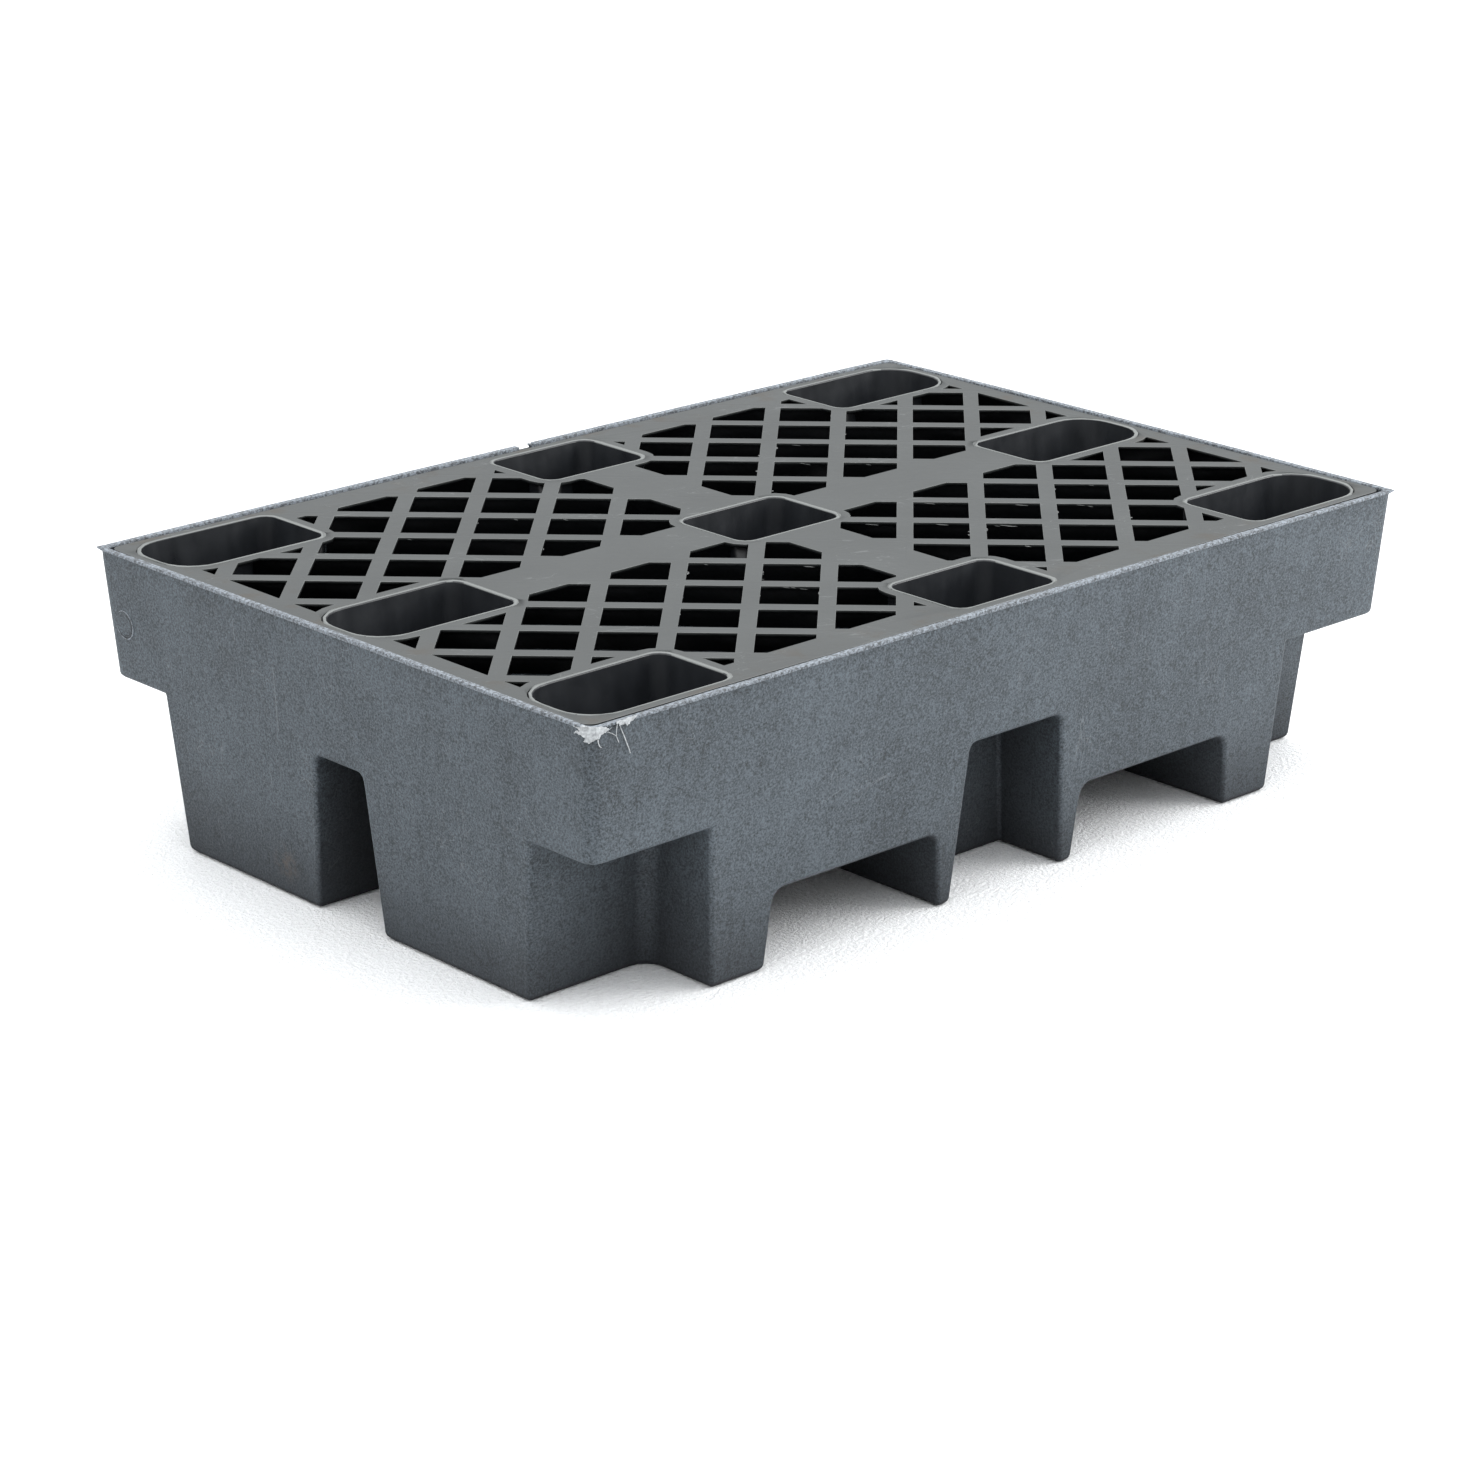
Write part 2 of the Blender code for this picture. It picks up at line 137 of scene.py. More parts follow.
# A spur's sections: reach past the corner as a share of its length (metres where negative), half width
# and half thickness.
SPUR_STEPS = (
    (-0.0045, 0.0085, 0.0015), (-0.0012, 0.0066, 0.0015), (0.35, 0.0036, 0.0011), (1.0, 0.0005, 0.0004),
)

# The nib beside the rim's cut-out: X, height above the rim and half thickness.
NIB_STEPS = (
    (0.0100, -0.0075, 0.0022), (0.0096, -0.0050, 0.0017), (0.0084, -0.0030, 0.0015),
    (0.0074, -0.0016, 0.0014), (0.0054, -0.0009, 0.0008),
)

# A sliver's outline: share of its length, and share of its width there.
SLIVER_STEPS = ((0.0, 0.35), (0.3, 1.0), (0.7, 0.7), (1.0, 0.12))


# Surfaces


class Value:
    """A number or vector that varies over a surface. Arithmetic on it adds Math nodes."""

    def __init__(self, paint, socket):
        self.paint = paint
        self.socket = socket

    def math(self, operation, first, second=0.0):
        return self.paint.node("ShaderNodeMath", {"operation": operation}, {0: first, 1: second})

    def __add__(self, other):
        return self.math("ADD", self, other)

    __radd__ = __add__

    def __sub__(self, other):
        return self.math("SUBTRACT", self, other)

    def __rsub__(self, other):
        return self.math("SUBTRACT", other, self)

    def __mul__(self, other):
        return self.math("MULTIPLY", self, other)

    __rmul__ = __mul__

    def __truediv__(self, other):
        return self.math("DIVIDE", self, other)

    def __abs__(self):
        return self.math("ABSOLUTE", self)

    def fraction(self):
        return self.math("FRACT", self)

    def larger(self, other):
        return self.math("MAXIMUM", self, other)

    def smaller(self, other):
        return self.math("MINIMUM", self, other)


class Paint:
    """One material's node tree."""

    def __init__(self, name, roughness=0.5):
        self.material = bpy.data.materials.new(name)
        self.material.use_nodes = True
        self.tree = self.material.node_tree
        self.shader = self.tree.nodes["Principled BSDF"]
        self.set_input("Roughness", roughness)

    def node(self, kind, settings=None, inputs=None, output=0):
        """Add a node, set it up, fill its sockets with values or links, and give one of its outputs."""
        made = self.tree.nodes.new(kind)
        for name, setting in (settings or {}).items():
            setattr(made, name, setting)
        for name, value in (inputs or {}).items():
            self.fill(made.inputs[name], value)
        return Value(self, made.outputs[output])

    def fill(self, socket, value):
        if isinstance(value, Value):
            self.tree.links.new(value.socket, socket)
        else:
            socket.default_value = value

    def set_input(self, name, value):
        """Give one of the surface's own sockets a value or a link."""
        self.fill(self.shader.inputs[name], value)

    def place(self):
        """Where a point lies on the object, in metres."""
        return self.node("ShaderNodeTexCoord", output="Object")

    def parts(self, vector):
        """Split a vector into its X, Y and Z."""
        made = self.tree.nodes.new("ShaderNodeSeparateXYZ")
        self.fill(made.inputs[0], vector)
        return [Value(self, socket) for socket in made.outputs]

    def stretched(self, vector, scale, turn=(0.0, 0.0, 0.0)):
        """Turn a vector, then scale it along each axis."""
        inputs = {"Vector": vector, "Rotation": turn}
        turned = self.node("ShaderNodeMapping", {"vector_type": "POINT"}, inputs)
        return self.node("ShaderNodeVectorMath", {"operation": "MULTIPLY"}, {0: turned, 1: scale})

    def noise(self, vector, scale, detail=2.0, roughness=0.5):
        """Smooth noise around 0, about -0.5 to 0.5."""
        inputs = {"Vector": vector, "Scale": scale, "Detail": detail, "Roughness": roughness}
        return self.node("ShaderNodeTexNoise", None, inputs) - 0.5

    def step(self, value, low, high):
        """Go smoothly from 0 to 1 as value goes from low to high."""
        inputs = {"Value": value, "From Min": low, "From Max": high}
        return self.node("ShaderNodeMapRange", {"interpolation_type": "SMOOTHSTEP"}, inputs)

    def mix(self, first, second, factor, blend="MIX"):
        """Mix two colours."""
        made = self.tree.nodes.new("ShaderNodeMix")
        made.data_type = "RGBA"
        made.blend_type = blend
        made.clamp_factor = True
        for name, value in (("Factor_Float", factor), ("A_Color", first), ("B_Color", second)):
            socket = next(item for item in made.inputs if item.identifier == name)
            self.fill(socket, value)
        result = next(item for item in made.outputs if item.identifier == "Result_Color")
        return Value(self, result)

    def tones(self, color, spread, factor):
        """A colour made darker and lighter by spread as factor goes from 0 to 1."""
        dark = tuple(channel * (1 - spread) for channel in color)
        light = tuple(channel * (1 + spread) for channel in color)
        return self.mix((*dark, 1.0), (*light, 1.0), factor)

    def bump(self, height, distance, strength=1.0):
        """Raise the surface by height, in units of distance."""
        inputs = {"Height": height, "Distance": distance, "Strength": strength}
        self.set_input("Normal", self.node("ShaderNodeBump", None, inputs))

    def spot(self, place, centre, radius):
        """A soft round spot, 1 at its centre."""
        away = self.node("ShaderNodeVectorMath", {"operation": "DISTANCE"}, {0: place, 1: centre}, output=1)
        return 1.0 - self.step(away, 0.0, radius)

    def line(self, across, middle, width, along, low, high):
        """A thin straight scratch between two heights."""
        near = 1.0 - self.step(abs(across - middle), 0.0, width)
        return near * self.step(along, low, low + 0.006) * (1.0 - self.step(along, high - 0.006, high))

    def openness(self, distance):
        """How open the surface is to its surroundings: 1 on a free face, less in a corner or a recess."""
        inputs = {"Distance": distance}
        return self.node("ShaderNodeAmbientOcclusion", {"samples": 8}, inputs, output=1)

    def hairlines(self, place, stretch, turn, width, share):
        """Sparse thin scratches: narrow contour lines of a stretched noise, kept in scattered patches."""
        field = self.noise(self.stretched(place, stretch, turn), 1.0, 1.0)
        line = 1.0 - self.step(abs(field), 0.0, width)
        patch = self.step(self.noise(place, 13.0, 1.0), 0.12 - share, 0.2 - share)
        return line * patch


def tub_plastic(settings):
    """Matt rotationally moulded polyethylene, with a fine mottle, soft streaks and scratches, and painted
    shade in its recesses.
    """
    paint = Paint("tub_plastic")
    place = paint.place()
    x, y, z = paint.parts(place)
    grain = paint.noise(place, 400.0, 2.0, 0.8)
    mottle = paint.noise(place, 80.0, 4.0, 0.7)
    cloud = paint.noise(place, 8.0, 4.0, 0.6)
    streak = paint.noise(paint.stretched(place, (70.0, 70.0, 9.0)), 1.0, 3.0)
    upright = paint.hairlines(place, (75.0, 75.0, 2.2), (0.05, 0.03, 0.0), 0.005, 0.08)
    slanted = paint.hairlines(place, (11.0, 40.0, 40.0), (0.5, 0.35, 0.0), 0.004, 0.05)
    sweep = paint.hairlines(place, (30.0, 9.0, 26.0), (-0.3, 0.6, 0.2), 0.004, 0.04)
    wobble = 0.004 * paint.noise(place, 30.0)
    on_end = 1.0 - paint.step(x, -0.58, -0.57)
    nick = paint.line(y + wobble, 0.100, 0.0014, z, 0.19, 0.27)
    nick = nick.larger(paint.line(y + wobble, 0.165, 0.0012, z, 0.275, 0.305)) * on_end
    scratch = upright.larger(slanted).larger(sweep).larger(nick)
    tone = 0.5 + 3.4 * grain + 0.8 * mottle + 0.75 * cloud + 0.35 * streak
    body = paint.tones(settings.wall_color, 0.62, tone)
    body = paint.mix(body, (*settings.scratch_color, 1.0), 0.26 * scratch)
    # Darker towards the bottom: the walls blend towards a darker colour over their lowest 16 cm.
    low_darkening = 1.0 - paint.step(z, 0.0, 0.16)
    body = paint.mix(body, (*settings.darkening_color, 1.0), low_darkening * (0.30 + 0.6 * mottle))
    patch = paint.spot(place, (-0.592, 0.108, 0.039), 0.030) * paint.step(mottle, -0.08, 0.12)
    body = paint.mix(body, (0.13, 0.10, 0.075, 1.0), 0.5 * patch)
    # Painted shade: the walls are darkened towards a near-black colour where ambient occlusion finds other
    # walls nearby, in corners and recesses.
    shade_in_recesses = 1.0 - paint.step(paint.openness(settings.shade_reach), 0.15, 0.85)
    body = paint.mix(body, (*settings.recess_shade_color, 1.0), 0.85 * shade_in_recesses)
    paint.set_input("Base Color", body)
    paint.set_input("Roughness", settings.wall_roughness + 0.25 * mottle - 0.10 * scratch + 0.25 * shade_in_recesses)
    paint.set_input("Specular IOR Level", 0.35)
    paint.bump(0.55 * grain + 0.5 * mottle + 0.12 * scratch, 0.0014, 0.6)
    return paint.material


def rim_plastic(settings):
    """The trimmed rim: the same plastic where the saw opened it, paler and coarsely flecked."""
    paint = Paint("rim_plastic")
    place = paint.place()
    fleck = paint.noise(place, 300.0, 3.0, 0.75)
    wave = paint.noise(place, 45.0, 2.0)
    tone = 0.5 + 4.6 * fleck + 0.5 * wave
    paint.set_input("Base Color", paint.tones(settings.rim_color, 0.75, tone))
    paint.set_input("Roughness", 0.55 + 0.5 * fleck)
    paint.bump(fleck, 0.0014, 0.8)
    return paint.material


def groove_shade_plastic(settings):
    """Painted shade: the dark of a shallow groove, laid on the ring mark's inner rings."""
    paint = Paint("groove_shade_plastic", 0.7)
    groove_mottle = paint.noise(paint.place(), 300.0, 3.0, 0.7)
    paint.set_input("Base Color", paint.tones(settings.darkening_color, 0.6, 0.3 + 1.5 * groove_mottle))
    paint.bump(groove_mottle, 0.0008, 0.5)
    return paint.material


def deck_plastic(settings):
    """Satin injection-moulded polyethylene with handling marks, and brown stains near its edges."""
    paint = Paint("deck_plastic")
    place = paint.place()
    x, y, _ = paint.parts(place)
    grain = paint.noise(place, 800.0, 2.0, 0.6)
    mottle = paint.noise(place, 55.0, 4.0, 0.6)
    cloud = paint.noise(place, 6.0, 3.0)
    rub = paint.hairlines(place, (16.0, 70.0, 70.0), (0.0, 0.0, 0.4), 0.008, 0.08)
    cross_rub = paint.hairlines(place, (80.0, 13.0, 60.0), (0.0, 0.0, -0.25), 0.006, 0.06)
    scratch = rub.larger(cross_rub)
    tone = 0.5 + 0.45 * grain + 0.45 * mottle + 0.6 * cloud
    body = paint.tones(settings.plate_color, 0.42, tone)
    body = paint.mix(body, (0.20, 0.21, 0.21, 1.0), 0.25 * scratch)
    edge_x = paint.step(abs(x), 0.50, 0.60)
    edge_y = paint.step(abs(y), 0.33, 0.40)
    stain = edge_x.larger(edge_y) * paint.step(paint.noise(place, 21.0, 5.0, 0.6), 0.0, 0.18)
    body = paint.mix(body, (*settings.stain_color, 1.0), 0.55 * stain)
    rising = abs(((x + y) / BAR_PITCH + 0.5).fraction() - 0.5) * BAR_PITCH
    falling = abs(((x - y) / BAR_PITCH + 0.5).fraction() - 0.5) * BAR_PITCH
    web = 1.0 - paint.step(rising.smaller(falling), 0.002, 0.007)
    paint.set_input("Base Color", body)
    paint.set_input("Roughness", settings.plate_roughness + 0.22 * mottle + 0.15 * stain - 0.06 * scratch)
    paint.set_input("Specular IOR Level", 0.32)
    paint.bump(0.1 * grain + 0.3 * mottle - 0.12 * scratch - 0.25 * web, 0.001, 0.5)
    return paint.material


def edge_highlight_plastic(settings):
    """The deck's rounded edges, smoother than its face and painted paler as a highlight."""
    paint = Paint("edge_highlight_plastic")
    place = paint.place()
    chips = paint.noise(place, 240.0, 3.0, 0.7)
    tone = 0.5 + 0.8 * chips + 0.4 * paint.noise(place, 24.0, 2.0)
    paint.set_input("Base Color", paint.tones(settings.edge_highlight_color, 0.45, tone))
    paint.set_input("Roughness", 0.34 + 0.3 * chips)
    paint.bump(chips, 0.0006, 0.5)
    return paint.material


def pocket_shade_plastic(settings):
    """The smooth inside of the deck's hollow feet, painted dark as the shade in the deep pockets."""
    paint = Paint("pocket_shade_plastic")
    place = paint.place()
    smear = paint.noise(paint.stretched(place, (60.0, 60.0, 9.0)), 1.0, 3.0)
    haze = paint.noise(place, 26.0, 4.0, 0.6)
    dust = paint.noise(place, 700.0, 1.0)
    tone = 0.5 + 0.8 * smear + 0.6 * haze + 0.25 * dust
    paint.set_input("Base Color", paint.tones(settings.pocket_shade_color, 0.4, tone))
    paint.set_input("Roughness", 0.36 + 0.3 * haze + 0.2 * smear)
    paint.bump(0.4 * haze + 0.3 * smear, 0.0008, 0.4)
    return paint.material


def underside_shade_plastic(settings):
    """The deck's webs and underside, painted dark as shade, with a dusty tone."""
    paint = Paint("underside_shade_plastic")
    place = paint.place()
    dust = paint.noise(place, 90.0, 4.0, 0.6)
    tone = 0.5 + 1.2 * dust
    paint.set_input("Base Color", paint.tones(settings.underside_shade_color, 0.5, tone))
    paint.set_input("Roughness", 0.6 + 0.3 * dust)
    paint.bump(dust, 0.0008, 0.4)
    return paint.material


def torn_plastic():
    """Pale translucent film and fibres torn from the moulding."""
    paint = Paint("torn_plastic", 0.45)
    crease = paint.noise(paint.place(), 260.0, 4.0, 0.7)
    paint.set_input("Base Color", paint.tones((0.36, 0.375, 0.385), 0.45, 0.5 + 2.2 * crease))
    paint.bump(crease, 0.0015, 0.8)
    return paint.material


def floor_paint(settings):
    """A plain pale floor with the faintest tooth."""
    paint = Paint("studio_floor", 0.8)
    tooth = paint.noise(paint.place(), 190.0, 3.0, 0.7)
    paint.set_input("Base Color", paint.tones(settings.floor_color, 0.07, 0.5 + 2.4 * tooth))
    paint.bump(tooth, 0.004, 0.8)
    return paint.material


# Shapes


def once(items):
    """List items in their order, each one time."""
    return list(dict.fromkeys(items))


def merged_copy(*nodes, floor=0.0):
    """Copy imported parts' meshes into one, and merge their loose triangles into whole faces."""
    shape = bmesh.new()
    for node in nodes:
        shape.from_mesh(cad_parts[node].data)
    bmesh.ops.remove_doubles(shape, verts=shape.verts, dist=FINE)
    if len(nodes) > 1:
        close_seams(shape)
    merge_flat(shape, floor)
    return shape


def refill_top(shape, top):
    """Fill a plate's flat face afresh, from its outline and its holes."""
    shape.normal_update()
    flat = {
        face for face in shape.faces
        if face.normal.z > 0.999 and all(vert.co.z > top - FINE for vert in face.verts)
    }
    rims = [edge for edge in shape.edges if len(flat.intersection(edge.link_faces)) == 1]
    old = [face for face in shape.faces if face in flat]
    bmesh.ops.delete(shape, geom=old, context="FACES_KEEP_BOUNDARY")
    bmesh.ops.triangle_fill(shape, edges=rims, use_beauty=True, normal=(0, 0, 1))
    bmesh.ops.recalc_face_normals(shape, faces=shape.faces)


def merge_flat(shape, floor=0.0):
    """Merge triangles that lie in one plane, where an edge between them reaches above a height."""
    edges = [edge for edge in shape.edges if max(vert.co.z for vert in edge.verts) > floor]
    verts = [vert for vert in shape.verts if vert.co.z > floor]
    bmesh.ops.dissolve_limit(shape, angle_limit=math.radians(0.2), verts=verts, edges=edges)


def close_seams(shape):
    """Join the tub's sections into one shell: drop the faces in the seams, then weld their edges."""
    inside = [
        face for face in shape.faces
        if any(all(abs(vert.co[axis] - place) < SEAM_WIDTH for vert in face.verts) for axis, place in SEAMS)
    ]
    bmesh.ops.delete(shape, geom=inside, context="FACES")
    open_verts = once(vert for edge in shape.edges if edge.is_boundary for vert in edge.verts)
    bmesh.ops.remove_doubles(shape, verts=open_verts, dist=WELD)


def piece(shape, name, body, materials, nodes=()):
    """Turn a shape into a finished piece that rides on a body."""
    mesh = bpy.data.meshes.new(name)
    shape.to_mesh(mesh)
    shape.free()
    for material in materials:
        mesh.materials.append(material)
    mesh.shade_smooth()
    made = bpy.data.objects.new(name, mesh)
    bpy.context.scene.collection.objects.link(made)
    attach(made, body)
    if nodes:
        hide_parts(*nodes)
    return made


def even_shading(made):
    """Keep flat faces flat where they meet rounded edges."""
    modifier = made.modifiers.new("even_shading", "WEIGHTED_NORMAL")
    modifier.mode = "FACE_AREA"
    modifier.weight = 80
    modifier.keep_sharp = False


def sharp_edges(shape, wanted, angle=35.0):
    """List the shape's sharp edges whose ends all pass a test."""
    limit = math.radians(angle)
    sharp = [edge for edge in shape.edges if edge.is_manifold and edge.calc_face_angle() > limit]
    return [edge for edge in sharp if all(wanted(vert.co) for vert in edge.verts)]


def round_off(shape, edges, radius, segments=2):
    """Round edges, and give the new faces."""
    made = bmesh.ops.bevel(
        shape, geom=edges, offset=radius, offset_type="OFFSET", affect="EDGES",
        segments=segments, profile=0.5, material=-1, clamp_overlap=True,
    )
    return made["faces"]


def close_specks(shape, top, size):
    """Fill the openings through a plate that are smaller than a size."""
    seen = set()
    for start in list(shape.faces):
        if start in seen or abs(start.normal.z) > 0.5:
            continue
        group, waiting = [], [start]
        seen.add(start)
        while waiting:
            face = waiting.pop()
            group.append(face)
            for edge in face.edges:
                for other in edge.link_faces:
                    if other not in seen and abs(other.normal.z) < 0.5:
                        seen.add(other)
                        waiting.append(other)
        places = [vert.co for face in group for vert in face.verts]
        wide = max(place.x for place in places) - min(place.x for place in places)
        deep = max(place.y for place in places) - min(place.y for place in places)
        if max(wide, deep) < size and max(place.z for place in places) > top - FINE:
            rims = [
                edge for edge in once(edge for face in group for edge in face.edges)
                if any(other not in group for other in edge.link_faces)
            ]
            above = [edge for edge in rims if all(vert.co.z > top - FINE for vert in edge.verts)]
            below = [edge for edge in rims if edge not in above]
            bmesh.ops.delete(shape, geom=group, context="FACES_ONLY")
            for loop in (above, below):
                bmesh.ops.triangle_fill(shape, edges=loop, use_beauty=True)
    bare = [edge for edge in shape.edges if not edge.link_faces]
    bmesh.ops.delete(shape, geom=bare, context="EDGES")
    bmesh.ops.recalc_face_normals(shape, faces=shape.faces)


def turn_out(shape, faces):
    """Make the faces of one closed shell look outwards."""
    for face in faces:
        face.normal_update()
    if sum(face.calc_center_median().dot(face.normal) * face.calc_area() for face in faces) < 0:
        bmesh.ops.reverse_faces(shape, faces=faces)


def draw_out(shape, sections):
    """Draw a four-sided section through a list of (centre, half width, half thickness) vectors."""
    corners = ((-1, -1), (1, -1), (1, 1), (-1, 1))

    def ring(section):
        centre, width, thickness = section
        return [centre + width * across + thickness * up for across, up in corners]

    verts = [shape.verts.new(place) for place in ring(sections[0])]
    face = shape.faces.new(verts)
    for section in sections[1:]:
        made = bmesh.ops.extrude_face_region(shape, geom=[face])["geom"]
        face = next(item for item in made if isinstance(item, bmesh.types.BMFace))
        places = ring(section)
        old = ring(sections[0])
        for vert in face.verts:
            index = min(range(4), key=lambda corner: (vert.co - old[corner]).length)
            vert.co = places[index]
        sections = [section]
    bmesh.ops.recalc_face_normals(shape, faces=shape.faces)


def wall_point(x, z, lift=0.0):
    """A point on the outside of the tub's front wall, lifted off it."""
    return Vector((x, TUB_LOW.y + SIDE_DRAFT * (TUB_HIGH.z - z) - lift, z))


def end_point(y, z, lift=0.0):
    """A point on the outside of the tub's left wall, lifted off it."""
    return Vector((TUB_LOW.x + END_DRAFT * (TUB_HIGH.z - z) - lift, y, z))


def rim_point(along):
    """A point on the rim's outer line, measured from the front left corner, and the way out from it."""
    half_turn = CORNER_RADIUS * math.pi / 4
    centre = Vector((TUB_LOW.x + CORNER_RADIUS, TUB_LOW.y + CORNER_RADIUS, TUB_HIGH.z))
    if along > half_turn:
        return Vector((centre.x + along - half_turn, TUB_LOW.y, TUB_HIGH.z)), Vector((0, -1, 0))
    if along < -half_turn:
        return Vector((TUB_LOW.x, centre.y - along - half_turn, TUB_HIGH.z)), Vector((-1, 0, 0))
    turn = math.radians(225) + along / CORNER_RADIUS
    out = Vector((math.cos(turn), math.sin(turn), 0))
    return centre + CORNER_RADIUS * out, out


def encloses(outline, across, along):
    """Whether a closed outline goes round a place."""
    inside = False
    for (x0, y0), (x1, y1) in zip(outline, outline[1:] + outline[:1]):
        if (y0 > along) != (y1 > along) and across < x0 + (along - y0) * (x1 - x0) / (y1 - y0):
            inside = not inside
    return inside


def keep_inside(shape):
    """Hold every vertex inside the pallet's own outline."""
    for vert in shape.verts:
        vert.co.x = min(max(vert.co.x, TUB_LOW.x), TUB_HIGH.x)
        vert.co.y = min(max(vert.co.y, TUB_LOW.y), TUB_HIGH.y)
        vert.co.z = min(vert.co.z, TUB_HIGH.z)


def crown(x, y):
    """How far the rim lies below its highest line: it dips a little towards the corners."""
    return (x / TUB_HIGH.x) ** 2 * (y / TUB_HIGH.y) ** 2


# Operators


class PALLET_OT_tub(Operator):
    """Finish the sump tub"""

    bl_idname = "pallet.tub"
    bl_label = "Sump Tub"

    def cross_cuts(self, shape, top, spacing):
        """Cut the rim across at even steps, so that it can ripple."""
        for axis, low, high in ((0, TUB_LOW.x, TUB_HIGH.x), (1, TUB_LOW.y, TUB_HIGH.y)):
            normal = Vector((0, 0, 0))
            normal[axis] = 1.0
            count = 2 * round((high - low) / spacing / 2) + 1
            for index in range(1, count):
                place = normal * (low + (high - low) * index / count)
                near_rim = [face for face in shape.faces if max(vert.co.z for vert in face.verts) > top]
                geom = near_rim + once(edge for face in near_rim for edge in face.edges)
                geom += once(vert for face in near_rim for vert in face.verts)
                bmesh.ops.bisect_plane(shape, geom=geom, dist=FINE, plane_co=place, plane_no=normal)

    def rim_band(self, shape, settings):
        """Set the rim off from the outer wall: a flat band with a shallow groove under it."""
        groove = TUB_HIGH.z - settings.band_height - GROOVE_DROP
        for height in (groove + GROOVE_DROP, groove, groove - GROOVE_FADE):
            geom = list(shape.verts) + list(shape.edges) + list(shape.faces)
            place = Vector((0, 0, height))
            bmesh.ops.bisect_plane(shape, geom=geom, dist=FINE, plane_co=place, plane_no=Vector((0, 0, 1)))
        for vert in shape.verts:
            if abs(vert.co.z - groove) < FINE:
                depth = TUB_HIGH.z - vert.co.z
                reach = Vector((
                    abs(vert.co.x) / (TUB_HIGH.x - END_DRAFT * depth),
                    abs(vert.co.y) / (TUB_HIGH.y - SIDE_DRAFT * depth),
                ))
                if max(reach) > 0.9935:
                    vert.co.x -= math.copysign(settings.band_step, vert.co.x) * (reach.x > 0.985)
                    vert.co.y -= math.copysign(settings.band_step, vert.co.y) * (reach.y > 0.980)

    def torn_corner(self, shape, settings):
        """Wear the rim back a little where the film is torn from it, near the front left corner."""
        corner = Vector((TUB_LOW.x, TUB_LOW.y, 0))
        for vert in shape.verts:
            away = (Vector((vert.co.x, vert.co.y, 0)) - corner).length
            share = min(1.0, max(0.0, (TORN_REACH - away) / (TORN_REACH - TORN_FULL)))
            if vert.co.z > TUB_HIGH.z - TORN_DEPTH:
                if vert.co.x < TUB_LOW.x + OUTER_SKIN or away < CORNER_AREA:
                    vert.co.x += share * settings.torn_inset
                if vert.co.y < TUB_LOW.y + OUTER_SKIN or away < CORNER_AREA:
                    vert.co.y += share * settings.torn_inset

    def execute(self, context):
        settings = context.scene.pallet_tub
        shape = merged_copy(*TUB, floor=settings.whole_above)
        top = TUB_HIGH.z - FINE
        self.cross_cuts(shape, top, settings.rim_spacing)
        self.rim_band(shape, settings)
        band_low = TUB_HIGH.z - settings.band_height - FINE
        for face in shape.faces:
            if min(vert.co.z for vert in face.verts) > band_low:
                face.material_index = 1
        for vert in shape.verts:
            if vert.co.z > top:
                ripple = noise.noise(vert.co * settings.rim_ripple_scale) * settings.rim_ripple
                vert.co.z -= settings.rim_dip * crown(vert.co.x, vert.co.y) + abs(ripple)
        self.torn_corner(shape, settings)
        rim_line = top - settings.rim_dip - settings.rim_ripple
        edges = sharp_edges(shape, lambda place: place.z > rim_line, 50.0)
        for face in round_off(shape, edges, settings.rim_radius):
            face.material_index = 1
        materials = [tub_plastic(settings), rim_plastic(settings)]
        even_shading(piece(shape, "tub_shell", TUB_BODY, materials, TUB))
        return {"FINISHED"}


class PALLET_OT_rim_flash(Operator):
    """Add what the saw left at the rim: spurs at three corners, and a nib beside the cut-out"""

    bl_idname = "pallet.rim_flash"
    bl_label = "Rim Flash"

    def spur(self, shape, side_x, side_y, length, bend):
        """A flat pointed spur that sticks out at a corner."""
        out = Vector((side_x, side_y, 0)).normalized()
        across = Vector((-out.y, out.x, 0))
        radius = CORNER_RADIUS
        corner = Vector((side_x * (TUB_HIGH.x - radius), side_y * (TUB_HIGH.y - radius), TUB_HIGH.z))
        centre = corner - Vector((0, 0, 0.0032))
        sections = []
        for reach, width, thickness in SPUR_STEPS:
            share = max(reach, 0.0)
            distance = radius + (share * length if reach > 0 else reach)
            place = centre + out * distance + across * (bend * share) + Vector((0, 0, 0.0008 * share))
            sections.append((place, across * width, Vector((0, 0, thickness))))
        draw_out(shape, sections)

    def execute(self, context):
        settings = context.scene.pallet_tub
        shape = bmesh.new()
        self.spur(shape, -1, 1, settings.spur_length, -0.0012)
        self.spur(shape, 1, -1, settings.spur_length, 0.0015)
        self.spur(shape, 1, 1, 0.55 * settings.spur_length, 0.0)
        wall = TUB_HIGH.y - 0.0046
        draw_out(shape, [
            (Vector((x, wall, TUB_HIGH.z + rise)), Vector((0, 0.0030, 0)), Vector((0.7, 0, 0.7)) * half)
            for x, rise, half in NIB_STEPS
        ])
        keep_inside(shape)
        round_off(shape, list(shape.edges), 0.0003, 1)
        piece(shape, "rim_flash", TUB_BODY, [bpy.data.materials["rim_plastic"]])
        return {"FINISHED"}


